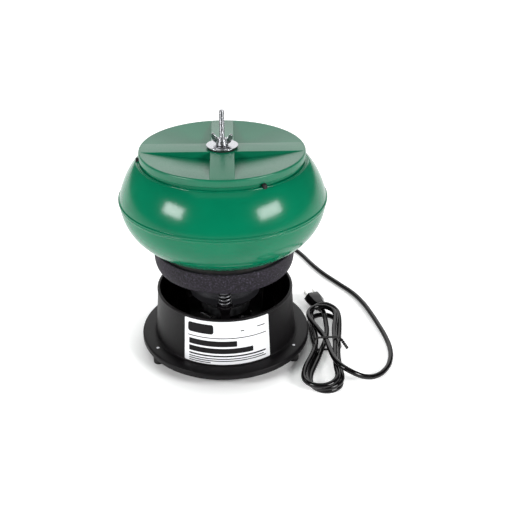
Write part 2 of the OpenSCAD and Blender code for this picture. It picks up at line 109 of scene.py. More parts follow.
def new_material(name, roughness, metallic=0.0, colour=None, **sockets):
    """A material with its Principled shader, and the place on the piece in millimetres."""
    material = bpy.data.materials.new(name)
    material.use_nodes = True
    tree = material.node_tree
    shader = tree.nodes["Principled BSDF"]
    shader.inputs["Roughness"].default_value = roughness
    shader.inputs["Metallic"].default_value = metallic
    if colour:
        shader.inputs["Base Color"].default_value = colour
    for key, value in sockets.items():
        shader.inputs[key.replace("_", " ")].default_value = value
    where = add_node(tree, "ShaderNodeTexCoord").outputs["Object"]
    place = add_node(tree, "ShaderNodeVectorMath", {0: where, "Scale": 1 / MM}, operation="SCALE").outputs[0]
    return material, tree, shader, place


def noise(tree, place, size_mm, detail=3.0, rough=0.5, stretch=None):
    """Noise whose blotches are about size_mm across."""
    if stretch:
        place = add_node(tree, "ShaderNodeVectorMath", {0: place, 1: stretch},
                         operation="MULTIPLY").outputs[0]
    return add_node(tree, "ShaderNodeTexNoise",
                    {"Vector": place, "Scale": 1 / size_mm, "Detail": detail,
                     "Roughness": rough}).outputs["Fac"]


def ramp(tree, factor, stops):
    """Maps a factor to colours: stops are (position, colour)."""
    node = add_node(tree, "ShaderNodeValToRGB", {"Fac": factor})
    marks = node.color_ramp.elements
    while len(marks) < len(stops):
        marks.new(0.5)
    for mark, (at, colour) in zip(marks, stops):
        mark.position = at
        mark.color = colour
    return node.outputs["Color"]


def spread(tree, factor, least, most, start=0.3, end=0.7):
    """Maps a factor from start..end to least..most."""
    return add_node(tree, "ShaderNodeMapRange",
                    {"Value": factor, "From Min": start, "From Max": end, "To Min": least,
                     "To Max": most}).outputs[0]


def bump(tree, shader, layers):
    """Stacks bumps: layers are (height, depth in millimetres)."""
    normal = None
    for height, depth in layers:
        inputs = {"Height": height, "Distance": depth * MM, "Strength": 1.0}
        if normal:
            inputs["Normal"] = normal
        normal = add_node(tree, "ShaderNodeBump", inputs).outputs["Normal"]
    tree.links.new(normal, shader.inputs["Normal"])


def mix(tree, factor, first, second, blend="MIX"):
    """Mixes two colours."""
    node = add_node(tree, "ShaderNodeMix", data_type="RGBA", blend_type=blend)
    for socket, value in ((node.inputs[0], factor), (node.inputs[6], first), (node.inputs[7], second)):
        if isinstance(value, bpy.types.NodeSocket):
            tree.links.new(value, socket)
        else:
            socket.default_value = value
    return node.outputs[2]


def shade(colour, by):
    return [c * by for c in colour[:3]] + [1.0]


def glossy_green_abs(name, colour, gloss=0.19, sheen=0.24):
    """Injection-moulded bowl plastic: deep gloss, faint flow marks and hairline scuffs from handling."""
    material, tree, shader, place = new_material(name, gloss, Specular_IOR_Level=sheen)
    flow = noise(tree, place, 70, 2.0)
    scuff = noise(tree, place, 2.2, 5.0, 0.7, (1.0, 1.0, 5.0))
    base = ramp(tree, flow, [(0.3, shade(colour, 0.88)), (0.7, shade(colour, 1.1))])
    tree.links.new(base, shader.inputs["Base Color"])
    tree.links.new(spread(tree, scuff, gloss - 0.04, gloss + 0.1, 0.45, 0.8), shader.inputs["Roughness"])
    bump(tree, shader, [(flow, 0.12), (noise(tree, place, 3.5, 2.0), 0.008), (scuff, 0.003)])
    return material


def moulded_black_plastic(name, colour):
    """Base plastic: warm black with a fine spark-eroded grain."""
    material, tree, shader, place = new_material(name, 0.38, Specular_IOR_Level=0.17)
    grain = noise(tree, place, 0.7, 3.0, 0.6)
    blotch = noise(tree, place, 25, 3.0)
    base = ramp(tree, blotch, [(0.3, shade(colour, 0.8)), (0.7, shade(colour, 1.25))])
    tree.links.new(base, shader.inputs["Base Color"])
    tree.links.new(spread(tree, grain, 0.36, 0.54), shader.inputs["Roughness"])
    bump(tree, shader, [(grain, 0.05), (blotch, 0.08)])
    return material


def charcoal_wrinkle_coat(name, colour):
    """Powder coat on the motor plate: a pebbled surface with dull violet flecks."""
    material, tree, shader, place = new_material(name, 0.62, Specular_IOR_Level=0.2)
    pebble = add_node(tree, "ShaderNodeTexVoronoi", {"Vector": place, "Scale": 1 / 1.6, "Randomness": 1.0},
                      feature="SMOOTH_F1").outputs["Distance"]
    fleck = noise(tree, place, 2.2, 4.0, 0.75)
    base = ramp(tree, fleck, [(0.34, shade(colour, 0.35)), (0.5, colour), (0.64, linear("#38323f")),
                              (0.76, linear("#6a6373"))])
    tree.links.new(base, shader.inputs["Base Color"])
    tree.links.new(spread(tree, fleck, 0.55, 0.75), shader.inputs["Roughness"])
    bump(tree, shader, [(pebble, 0.35), (fleck, 0.25)])
    return material


def soft_black_rubber(name, colour):
    """Feet, seat and seal: matte rubber with a trace of dust."""
    material, tree, shader, place = new_material(name, 0.7, Specular_IOR_Level=0.35)
    dust = noise(tree, place, 9, 5.0, 0.65)
    base = ramp(tree, dust, [(0.4, colour), (0.75, linear("#2b2927"))])
    tree.links.new(base, shader.inputs["Base Color"])
    tree.links.new(spread(tree, dust, 0.6, 0.85), shader.inputs["Roughness"])
    bump(tree, shader, [(noise(tree, place, 0.9, 3.0), 0.04)])
    return material


def glossy_cord_vinyl(name, colour):
    """Cord and plug: glossy vinyl, a little uneven along its length."""
    material, tree, shader, place = new_material(name, 0.16, Specular_IOR_Level=0.3)
    wave = noise(tree, place, 12, 2.0)
    smear = noise(tree, place, 4, 4.0, 0.6)
    base = ramp(tree, smear, [(0.35, colour), (0.75, shade(colour, 1.9))])
    tree.links.new(base, shader.inputs["Base Color"])
    tree.links.new(spread(tree, smear, 0.1, 0.22), shader.inputs["Roughness"])
    bump(tree, shader, [(wave, 0.15), (noise(tree, place, 0.8, 2.0), 0.01)])
    return material


def bright_zinc_plate(name, colour, roughness=0.26):
    """Zinc-plated steel: bright, with a cloudy passivated film and fine turning marks."""
    material, tree, shader, place = new_material(name, roughness, metallic=1.0)
    cloud = noise(tree, place, 5, 4.0, 0.6)
    marks = noise(tree, place, 0.4, 2.0, 0.5, (1.0, 1.0, 4.0))
    base = ramp(tree, cloud, [(0.3, shade(colour, 0.82)), (0.7, colour)])
    tree.links.new(base, shader.inputs["Base Color"])
    tree.links.new(spread(tree, cloud, roughness - 0.07, roughness + 0.12), shader.inputs["Roughness"])
    bump(tree, shader, [(marks, 0.012)])
    return material


def stacked_steel(name, colour):
    """Motor laminations: thin sheets of varnished steel, one edge line each 0.5 mm."""
    material, tree, shader, place = new_material(name, 0.45, metallic=0.7)
    sheets = add_node(tree, "ShaderNodeTexWave", {"Vector": place, "Scale": 0.63, "Distortion": 0.0},
                      wave_type="BANDS", bands_direction="Z").outputs["Fac"]
    tree.links.new(mix(tree, sheets, shade(colour, 0.35), colour), shader.inputs["Base Color"])
    tree.links.new(spread(tree, noise(tree, place, 3), 0.35, 0.6), shader.inputs["Roughness"])
    bump(tree, shader, [(sheets, 0.08)])
    return material


def enamelled_copper(name, colour):
    """Windings: varnished copper wire laid round the ring."""
    material, tree, shader, place = new_material(name, 0.3, metallic=0.85)
    wires = add_node(tree, "ShaderNodeTexWave", {"Vector": place, "Scale": 0.45, "Distortion": 1.5,
                                                 "Detail": 1.0},
                     wave_type="RINGS", rings_direction="Z").outputs["Fac"]
    tree.links.new(mix(tree, wires, shade(colour, 0.3), colour), shader.inputs["Base Color"])
    bump(tree, shader, [(wires, 0.25)])
    return material


def satin_paint(name, colour, roughness=0.42, grain_mm=1.2):
    """Thin paint or nylon with a slight grain, for the motor brackets and the terminal block."""
    material, tree, shader, place = new_material(name, roughness)
    grain = noise(tree, place, grain_mm, 3.0)
    base = ramp(tree, noise(tree, place, 12), [(0.3, shade(colour, 0.85)), (0.7, shade(colour, 1.12))])
    tree.links.new(base, shader.inputs["Base Color"])
    tree.links.new(spread(tree, grain, roughness - 0.08, roughness + 0.1), shader.inputs["Roughness"])
    bump(tree, shader, [(grain, 0.03)])
    return material


def printed_film(name, colour, roughness=0.34):
    """The label's film and its print: satin, faintly uneven where it is stuck down."""
    material, tree, shader, place = new_material(name, roughness, Specular_IOR_Level=0.15)
    ripple = noise(tree, place, 18, 2.0)
    base = ramp(tree, noise(tree, place, 6, 4.0), [(0.3, shade(colour, 0.96)), (0.7, colour)])
    tree.links.new(base, shader.inputs["Base Color"])
    tree.links.new(spread(tree, ripple, roughness - 0.05, roughness + 0.08), shader.inputs["Roughness"])
    bump(tree, shader, [(ripple, 0.1)])
    return material


def studio_floor(name, colour):
    """The plain pale floor with a painted glow, none under and close round the base and more far away, with a
    trace of unevenness.
    """
    material, tree, shader, place = new_material(name, 0.7, colour=colour, Specular_IOR_Level=0.1,
                                                 Emission_Color=colour)
    away = add_node(tree, "ShaderNodeVectorMath", {0: place}, operation="LENGTH").outputs["Value"]
    # painted light: the floor glows, not at all within 105 mm of the axis, rising to 0.45 at 150 mm, and
    # rising again from 500 to 2500 mm
    near, far = spread(tree, away, 0.0, 0.45, 105, 150), spread(tree, away, 0.0, 0.45, 500, 2500)
    painted_glow = add_node(tree, "ShaderNodeMath", {0: near, 1: far}, operation="ADD").outputs[0]
    tree.links.new(painted_glow, shader.inputs["Emission Strength"])
    tree.links.new(spread(tree, noise(tree, place, 200, 2.0), 0.5, 0.6), shader.inputs["Roughness"])
    return material


MAKERS = {
    "glossy_green_abs": lambda c: glossy_green_abs("glossy_green_abs", c.bowl),
    "glossy_green_lid": lambda c: glossy_green_abs("glossy_green_lid", c.lid, 0.34, 0.4),
    "moulded_black_plastic": lambda c: moulded_black_plastic("moulded_black_plastic", c.base),
    "charcoal_wrinkle_coat": lambda c: charcoal_wrinkle_coat("charcoal_wrinkle_coat", c.plate),
    "soft_black_rubber": lambda c: soft_black_rubber("soft_black_rubber", c.rubber),
    "glossy_cord_vinyl": lambda c: glossy_cord_vinyl("glossy_cord_vinyl", c.cord),
    "red_lead_vinyl": lambda c: glossy_cord_vinyl("red_lead_vinyl", linear("#8a1f1c")),
    "bright_zinc_plate": lambda c: bright_zinc_plate("bright_zinc_plate", c.zinc),
    "zinc_spring_wire": lambda c: bright_zinc_plate("zinc_spring_wire", shade(c.zinc, 0.4), 0.36),
    "ground_steel": lambda c: bright_zinc_plate("ground_steel", shade(c.zinc, 0.6), 0.34),
    "black_oxide_steel": lambda c: bright_zinc_plate("black_oxide_steel", linear("#2a2a2c"), 0.4),
    "plain_brass": lambda c: bright_zinc_plate("plain_brass", c.brass, 0.24),
    "nickel_plated_brass": lambda c: bright_zinc_plate("nickel_plated_brass", linear("#c9c9c6"), 0.2),
    "stacked_steel": lambda c: stacked_steel("stacked_steel", linear("#4a4a4e")),
    "enamelled_copper": lambda c: enamelled_copper("enamelled_copper", linear("#b5652e")),
    "motor_bracket_paint": lambda c: satin_paint("motor_bracket_paint", linear("#1d1d20")),
    "terminal_nylon": lambda c: satin_paint("terminal_nylon", linear("#cfc9b8"), 0.5, 0.6),
    "label_film": lambda c: printed_film("label_film", c.label),
    "label_ink": lambda c: printed_film("label_ink", c.ink, 0.4),
    "studio_floor": lambda c: studio_floor("studio_floor", c.floor),
}


def finish_of(name):
    """The named material, made the first time that it is asked for."""
    return bpy.data.materials.get(name) or MAKERS[name](bpy.context.scene.tumbler_colours)


# ---- modelling helpers ----

def paint(piece, name):
    piece.data.materials.clear()
    piece.data.materials.append(finish_of(name))


def place_piece(name, bm, material, body, node=None, smooth_angle=35):
    """Turns a bmesh into a piece that rides on a body and may stand for a CAD node."""
    mesh = bpy.data.meshes.new(name)
    bm.to_mesh(mesh)
    bm.free()
    piece = bpy.data.objects.new(name, mesh)
    bpy.context.scene.collection.objects.link(piece)
    paint(piece, material)
    mesh.shade_smooth()
    mesh.set_sharp_from_angle(angle=math.radians(smooth_angle))
    declare(piece, body, node)
    return piece


def declare(piece, body, node=None):
    if body:
        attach(piece, body)
    if node:
        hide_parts(*([node] if isinstance(node, str) else node))


def outline(bm, points, close=True):
    """A wire outline in the XZ plane from (radius, height) points in millimetres."""
    verts = [bm.verts.new((r * MM, 0, z * MM)) for r, z in points]
    pairs = list(zip(verts, verts[1:])) + ([(verts[-1], verts[0])] if close else [])
    return verts + [bm.edges.new(pair) for pair in pairs]


def spun(points, steps=96, close=True, rounding=0.0, segments=2, sharp=30):
    """Spins an outline round the axis, closes it, and rounds its sharp rings (rounding in millimetres)."""
    bm = bmesh.new()
    wire = outline(bm, points, close)
    bmesh.ops.spin(bm, geom=wire, cent=(0, 0, 0), axis=(0, 0, 1), angle=2 * math.pi, steps=steps,
                   use_merge=True)
    bmesh.ops.remove_doubles(bm, verts=bm.verts, dist=1e-6)
    bmesh.ops.recalc_face_normals(bm, faces=bm.faces)
    if rounding:
        round_edges(bm, rounding, segments, sharp)
    return bm


def round_edges(bm, width, segments=2, sharp=30):
    """Rounds every edge whose faces meet at more than sharp degrees."""
    limit = math.radians(sharp)
    edges = [e for e in bm.edges if len(e.link_faces) == 2 and e.calc_face_angle(0) > limit]
    bmesh.ops.bevel(bm, geom=edges, offset=width * MM, offset_type="OFFSET", segments=segments, profile=0.5,
                    affect="EDGES", clamp_overlap=True, material=-1)


def arc(cx, cz, rx, rz, start, end, count=24, power=1.0):
    """Points of a quarter-like arc from start to end degrees; power flattens it from an ellipse."""
    points = []
    for i in range(count + 1):
        a = math.radians(start + (end - start) * i / count)
        c, s = math.cos(a), math.sin(a)
        points.append((cx + rx * math.copysign(abs(c) ** power, c), cz + rz * math.copysign(abs(s) ** power,
                                                                                            s)))
    return points


def rotate(bm, matrix):
    bmesh.ops.rotate(bm, verts=bm.verts, cent=(0, 0, 0), matrix=matrix)


def move(bm, by):
    bmesh.ops.translate(bm, verts=bm.verts, vec=by)


def extrude(bm, face, by):
    """Pulls a face out into a closed bar."""
    made = bmesh.ops.extrude_face_region(bm, geom=[face])["geom"]
    bmesh.ops.translate(bm, verts=[v for v in made if isinstance(v, bmesh.types.BMVert)], vec=by)


def turned(degrees):
    return Matrix.Rotation(math.radians(degrees), 4, "Z")


def copies_round(bm, count, radius, first=0.0, height=0.0):
    """Moves what bm holds out to a circle and repeats it; angles are counted from the front towards +X."""
    move(bm, (0, -radius * MM, height * MM))
    rotate(bm, turned(first))
    source = list(bm.verts) + list(bm.edges) + list(bm.faces)
    for i in range(1, count):
        made = bmesh.ops.duplicate(bm, geom=source)["geom"]
        verts = [v for v in made if isinstance(v, bmesh.types.BMVert)]
        bmesh.ops.rotate(bm, verts=verts, cent=(0, 0, 0), matrix=turned(i * 360 / count))


def joined(bm, other):
    """Adds another bmesh's faces to bm and frees the other."""
    mesh = bpy.data.meshes.new("part_to_join")
    other.to_mesh(mesh)
    other.free()
    bm.from_mesh(mesh)
    bpy.data.meshes.remove(mesh)


def combined(bm, tool, operation):
    """The result of a boolean between two closed bmeshes, as a new bmesh."""
    objects = []
    for part in (bm, tool):
        mesh = bpy.data.meshes.new("boolean_part")
        part.to_mesh(mesh)
        part.free()
        objects.append(bpy.data.objects.new("boolean_part", mesh))
        bpy.context.scene.collection.objects.link(objects[-1])
    cut = objects[0].modifiers.new("cut", "BOOLEAN")
    cut.operation, cut.solver, cut.object = operation, "EXACT", objects[1]
    result = bmesh.new()
    graph = bpy.context.evaluated_depsgraph_get()
    result.from_mesh(objects[0].evaluated_get(graph).to_mesh())
    for item in objects:
        mesh = item.data
        bpy.data.objects.remove(item)
        bpy.data.meshes.remove(mesh)
    return result


def block(size, centre, rounding=0.0, segments=2):
    """A box in millimetres with rounded edges."""
    bm = bmesh.new()
    bmesh.ops.create_cube(bm, size=1.0)
    bmesh.ops.scale(bm, verts=bm.verts, vec=[s * MM for s in size])
    move(bm, [c * MM for c in centre])
    if rounding:
        round_edges(bm, rounding, segments)
    return bm


def coil(coil_r, wire_r, start_z, pitch, turns, sides=12, steps=28):
    """A helix of round wire, spun with a rise for each turn, with both ends closed."""
    bm = bmesh.new()
    bmesh.ops.create_circle(bm, cap_ends=False, radius=wire_r * MM, segments=sides)
    rotate(bm, Matrix.Rotation(math.pi / 2, 4, "X"))
    move(bm, (coil_r * MM, 0, start_z * MM))
    wire = list(bm.verts) + list(bm.edges)
    count = int(turns * steps)
    bmesh.ops.spin(bm, geom=wire, cent=(0, 0, 0), axis=(0, 0, 1), angle=2 * math.pi * turns, steps=count,
                   dvec=(0, 0, pitch * turns * MM / count))
    bmesh.ops.holes_fill(bm, edges=[e for e in bm.edges if e.is_boundary])
    bmesh.ops.recalc_face_normals(bm, faces=bm.faces)
    return bm


# ---- sizes and colours that a user may change ----

class TumblerSizes(PropertyGroup):
    spin_steps: IntProperty(name="Spin steps", description="Faces round each large turned piece", default=192,
                            min=48, max=320)
    seam_rounding: FloatProperty(name="Seam rounding", description="Rounding of the bowl's seam lips",
                                 default=0.0004,
                                 unit="LENGTH", min=0.0001, max=0.001)
    cord_diameter: FloatProperty(name="Cord diameter", description="Diameter of the mains cord",
                                 default=0.007,
                                 unit="LENGTH", min=0.005, max=0.009)
    thread_pitch: FloatProperty(name="Thread pitch", description="Rise of the rod's thread in one turn",
                                default=0.00127, unit="LENGTH", min=0.0008, max=0.002)
    spring_wire: FloatProperty(name="Spring wire", description="Radius of the spring wire", default=0.0011,
                               unit="LENGTH", min=0.0008, max=0.0014)


def colour_choice(name, description, code):
    """A colour that the user may change; code is its sRGB hex default."""
    return FloatVectorProperty(name=name, description=description, subtype="COLOR", size=4,
                               default=linear(code), min=0, max=1)


class TumblerColours(PropertyGroup):
    bowl: colour_choice("Bowl", "Green of the two bowl shells", "#006a4a")
    lid: colour_choice("Lid", "Green of the lid", "#016648")
    base: colour_choice("Base", "Warm black of the base", "#070507")
    plate: colour_choice("Motor plate", "Charcoal of the motor plate", "#19161c")
    rubber: colour_choice("Rubber", "Black of the feet, seat and seal", "#141315")
    cord: colour_choice("Cord", "Black of the cord and the plug", "#050405")
    zinc: colour_choice("Zinc plate", "Bright plated steel", "#aeafb3")
    brass: colour_choice("Brass", "Bushes and terminal screws", "#c9a35a")
    label: colour_choice("Label", "White film of the label", "#adaeb4")
    ink: colour_choice("Ink", "Dark print on the label", "#0d0b0d")
    floor: colour_choice("Floor", "Pale studio floor", "#f8f8f8")


class PieceOperator:
    bl_options = {"REGISTER", "UNDO"}

    @property
    def sizes(self):
        return bpy.context.scene.tumbler_sizes


# ---- stage ----

def softbox(name, azimuth, elevation, distance, width, height, power):
    """A rectangular light that looks at the bowl; azimuth is counted from the front towards +X."""
    target = Vector((0, 0, 0.2))
    a, e = math.radians(azimuth), math.radians(elevation)
    towards = Vector((math.sin(a) * math.cos(e), -math.cos(a) * math.cos(e), math.sin(e)))
    data = bpy.data.lights.new(name, "AREA")
    data.shape, data.size, data.size_y, data.energy = "RECTANGLE", width, height, power
    light = bpy.data.objects.new(name, data)
    light.location = target + towards * distance
    light.rotation_euler = towards.to_track_quat("Z", "Y").to_euler()
    light.visible_camera = False
    bpy.context.scene.collection.objects.link(light)


class TUMBLER_OT_stage(PieceOperator, Operator):
    """Adds the camera, the pale floor and the studio lights"""
    bl_idname = "tumbler.stage"
    bl_label = "Stage"

    def execute(self, context):
        scene = context.scene
        data = bpy.data.cameras.new("camera")
        data.lens, data.sensor_width = 55.47, 36.0
        camera = bpy.data.objects.new("camera", data)
        camera.location = (0.0084, -0.9023, 0.6241)
        camera.rotation_euler = (math.radians(61.34), 0, math.radians(-2))
        scene.collection.objects.link(camera)
        scene.camera = camera
        scene.view_settings.view_transform = "Standard"
        floor = bmesh.new()
        bmesh.ops.create_circle(floor, cap_ends=True, radius=12.0, segments=96)
        piece = place_piece("studio_floor", floor, "studio_floor", None)
        world = bpy.data.worlds.new("studio")
        world.use_nodes = True
        world.node_tree.nodes["Background"].inputs["Color"].default_value = (1, 1, 1, 1)
        seen = add_node(world.node_tree, "ShaderNodeLightPath").outputs["Is Camera Ray"]
        world.node_tree.links.new(spread(world.node_tree, seen, 0.07, 0.93, 0, 1),
                                  world.node_tree.nodes["Background"].inputs["Strength"])
        scene.world = world
        softbox("window_left", -57, 23, 1.9, 0.72, 0.42, 27)
        softbox("window_right", 53, 23, 1.9, 0.86, 0.44, 31)
        softbox("overhead", 0, 86, 2.4, 2.4, 2.4, 10)
        softbox("backdrop_glow", 180, 32, 2.6, 3.4, 2.6, 48)
        return {"FINISHED"}


# ---- cord, hank, tie and plug ----

LOOSE_CORD = [
    (0, 122, 42), (0, 138, 41), (1, 156, 37), (4, 175, 29), (8, 194, 19), (13, 213, 10), (20, 231, 5), (31,
                                                                                                        248,
                                                                                                        3.6),
    (46, 261, 3.6), (64, 268, 3.6), (83, 268, 3.6), (101, 261, 3.6), (115, 248, 3.6), (125, 230, 3.6),
    (137, 201, 3.6), (151, 172, 3.6), (174, 135, 3.6), (191, 108, 3.6), (202, 81, 3.6), (210, 49, 3.6),
    (216, 17, 3.6), (220, -10, 3.6), (221, -38, 3.6), (217, -62, 3.6), (207, -83, 3.6), (192, -98, 4.8),
    (177, -105, 9), (165, -107, 15),
]


def fold(cx, cy, radius, start, end, z_start, z_end, hump=0.0, count=8):
    """Points round one fold of the hank, which may rise over what lies under its middle."""
    points = []
    for i in range(count + 1):
        t = i / count
        a = math.radians(start + (end - start) * t)
        rise = hump * math.sin(math.pi * t) ** 2
        points.append((cx + radius * math.cos(a), cy + radius * math.sin(a),
                       z_start + (z_end - z_start) * t + rise))
    return points


def hank_route():
    """Three turns, fanned out and drawn together at the waist; the last run goes to the plug."""
    points = [(155, -104.5, 19.5), (147, -98, 21.5), (141.5, -87.5, 21.5), (138.3, -73, 20.5), (136.8, -57,
                                                                                                19),
              (135.5, -40, 17.4), (132.7, -24, 16.6), (127, -8, 17), (120.8, 8, 17.8), (117.2, 19, 18.3)]
    points += fold(135.5, 28.5, 19, 180, 0, 18.6, 18, 0.6)
    points += [(153.5, 18, 17.4), (150.2, 2, 16.6), (147.8, -15, 16), (146.6, -33, 16), (143.6, -58, 15.6),
               (141.3, -82, 15), (141, -94, 15)]
    points += fold(119.7, -104.5, 21.3, 0, -180, 15, 9.9)
    points += [(99.6, -94, 9.8), (104, -79, 9.7), (114, -55, 9.7), (120.6, -33, 9.7), (122.6, -12, 9.8),
               (121.6, 8, 10.6), (121.3, 24, 11.8)]
    points += fold(140.6, 37, 19.3, 180, 0, 12.6, 12.6, 4.4)
    points += [(159.6, 24, 11.8), (157.6, 6, 10.4), (154.4, -14, 9.7), (151.2, -33, 9.7), (148, -56, 9.7),
               (146.9, -80, 9.7), (147, -92, 9.7)]
    points += fold(124.6, -102.5, 22.4, 0, -180, 9.7, 6.5)
    points += [(103, -91, 5.2), (107, -76, 3.7), (116, -53, 3.7), (120.6, -33, 3.7), (119.4, -12, 3.7),
               (118.8, 10, 3.7), (118.6, 20, 3.7)]
    points += fold(138.4, 29, 19.8, 180, 0, 3.5, 3.7)
    points += [(157.3, 16, 3.7), (154.8, -6, 3.7), (150.8, -33, 3.7), (147.4, -56, 3.7), (145.6, -78, 3.7),
               (145.6, -94, 3.7)]
    points += fold(126.4, -105.4, 19.3, 0, -180, 3.5, 3.7)
    points += [(108.5, -93, 3.7), (113, -79, 3.7), (121.5, -57, 3.7), (128.8, -36, 3.7), (136, -15, 3.7),
               (140.4, 6, 4.2), (141, 26, 7), (140.2, 42, 10.2), (139.4, 52, 9.8), (138.6, 58, 9.2)]
    return points


def path_length(points):
    return sum((Vector(b) - Vector(a)).length for a, b in zip(points, points[1:])) * MM


class TUMBLER_OT_cord(PieceOperator, Operator):
    """Adds the cord from the base to the plug, with its folded hank"""
    bl_idname = "tumbler.cord"
    bl_label = "Cord"

    def execute(self, context):
        points = LOOSE_CORD + hank_route()
        curve = bpy.data.curves.new("mains_cord", "CURVE")
        curve.dimensions = "3D"
        curve.bevel_depth = self.sizes.cord_diameter / 2
        curve.bevel_resolution = 5
        curve.resolution_u = 6
        curve.use_fill_caps = True
        spline = curve.splines.new("BEZIER")
        spline.bezier_points.add(len(points) - 1)
        for handle, point in zip(spline.bezier_points, points):
            handle.co = [c * MM for c in point]
            handle.handle_left_type = handle.handle_right_type = "AUTO"
        cord = bpy.data.objects.new("mains_cord", curve)
        context.scene.collection.objects.link(cord)
        curve.materials.append(finish_of("glossy_cord_vinyl"))
        declare(cord, "base", ("power_cord", "cord_hank"))
        return {"FINISHED"}


class TUMBLER_OT_tie(PieceOperator, Operator):
    """Adds the twist tie round the hank's waist"""
    bl_idname = "tumbler.tie"
    bl_label = "Cord tie"

    def execute(self, context):
        left, right, top = 116.4, 155.6, 21.6
        corner = 6
        ring = (fold(right - corner, corner + 0.7, corner, -90, 0, 0, 0, count=5)
                + fold(right - corner - 2, top - corner, corner, 0, 90, 0, 0, count=5)
                + fold(left + corner + 2, top - corner - 0.6, corner, 90, 180, 0, 0, count=5)
                + fold(left + corner, corner + 0.7, corner, 180, 270, 0, 0, count=5))
        bm = bmesh.new()
        strap = [bm.verts.new((x * MM, (TIE_Y - 2.2) * MM, z * MM)) for x, z, _ in ring]
        edges = [bm.edges.new(pair) for pair in zip(strap, strap[1:] + strap[:1])]
        made = bmesh.ops.extrude_edge_only(bm, edges=edges)["geom"]
        bmesh.ops.translate(bm, verts=[v for v in made if isinstance(v, bmesh.types.BMVert)], vec=(0,
                                                                                                   4.4 * MM,
                                                                                                   0))
        bmesh.ops.recalc_face_normals(bm, faces=bm.faces)
        bmesh.ops.solidify(bm, geom=bm.faces[:], thickness=0.7 * MM)
        round_edges(bm, 0.25, 1, 50)
        for turn in (0, 180):
            tail = bmesh.new()
            bmesh.ops.create_circle(tail, cap_ends=False, radius=1.1 * MM, segments=10)
            rotate(tail, Matrix.Rotation(math.pi / 2, 4, "X"))
            move(tail, (1.1 * MM, 0, 0))
            bmesh.ops.spin(tail, geom=tail.verts[:] + tail.edges[:], cent=(0, 0, 0), axis=(0, 0, 1),
                           angle=math.radians(360 * 2.5), steps=50, dvec=(0, 0, 15 * MM / 50))
            bmesh.ops.holes_fill(tail, edges=[e for e in tail.edges if e.is_boundary])
            bmesh.ops.recalc_face_normals(tail, faces=tail.faces)
            rotate(tail, turned(turn))
            rotate(tail, Matrix.Rotation(math.radians(125), 4, "Y"))
            rotate(tail, turned(-50))
            move(tail, (154.4 * MM, TIE_Y * MM, 18 * MM))
            joined(bm, tail)
        place_piece("twist_tie", bm, "soft_black_rubber", "base", "cord_tie")
        return {"FINISHED"}


PLUG_AT = (128.5, 90, 9)
PLUG_TURN = 106


def on_plug(bm):
    """Turns and moves a plug piece from its own axes, blades along +X, to where the plug lies."""
    rotate(bm, turned(PLUG_TURN))
    move(bm, [c * MM for c in PLUG_AT])


class TUMBLER_OT_plug(PieceOperator, Operator):
    """Adds the moulded plug and its two blades"""
    bl_idname = "tumbler.plug"
    bl_label = "Plug"

    def execute(self, context):
        lens = [(-14, 0), (-7.5, 8.7), (7.5, 8.7), (14, 0), (7.5, -8.7), (-7.5, -8.7)]
        slices = [(0, 0.93), (-1.2, 1.0), (-11, 1.0), (-13, 0.93), (-20, 0.84), (-27.2, 0.6), (-28.2, 0.52)]
        bm = bmesh.new()
        loops = []
        for x, scale in slices:
            verts = [bm.verts.new((x * MM, y * scale * MM, z * (scale + 1) / 2 * MM)) for y, z in lens]
            loops.append([bm.edges.new(pair) for pair in zip(verts, verts[1:] + verts[:1])])
        for first, second in zip(loops, loops[1:]):
            bmesh.ops.bridge_loops(bm, edges=first + second)
        bmesh.ops.holes_fill(bm, edges=[e for e in bm.edges if e.is_boundary])
        bmesh.ops.recalc_face_normals(bm, faces=bm.faces)
        round_edges(bm, 1.3, 3, 25)
        tail = spun([(0, 0), (6.1, 0), (6.1, 2), (5.3, 2.6), (5.3, 3.6), (5.8, 4.2), (5.8, 5.2), (4.9, 5.8),
                     (4.9, 6.8),
                     (5.3, 7.4), (5.3, 8.2), (4.5, 8.8), (4.3, 10), (3.4, 10.4), (0, 10.4)], 32, False, 0.3,
                     2)
        rotate(tail, Matrix.Rotation(-math.pi / 2, 4, "Y"))
        move(tail, (-27.6 * MM, 0, 0))
        joined(bm, tail)
        on_plug(bm)
        body = place_piece("plug_moulding", bm, "glossy_cord_vinyl", "base", "plug_body", 40)
        blades = bmesh.new()
        for side in (-6.35, 6.35):
            blade = combined(block((18, 1.5, 6.4), (8, side, 0), 0.35, 2), plug_hole(side), "DIFFERENCE")
            joined(blades, blade)
        on_plug(blades)
        metal = place_piece("plug_contacts", blades, "nickel_plated_brass", "base", "plug_blades", 40)
        length = round(path_length(LOOSE_CORD + hank_route()), 3)
        return {"FINISHED"}


def plug_hole(side):
    """The round hole near a blade's tip."""
    bm = bmesh.new()
    bmesh.ops.create_cone(bm, cap_ends=True, segments=24, radius1=1.5 * MM, radius2=1.5 * MM, depth=6 * MM)
    rotate(bm, Matrix.Rotation(math.pi / 2, 4, "X"))
    move(bm, (13 * MM, side * MM, 0))
    return bm


# ---- base ----

def wall_r(z):
    """Radius of the base's outer wall at a height."""
    return 94 - 5 * (z - FLANGE_Z) / (RIM_Z - FLANGE_Z)


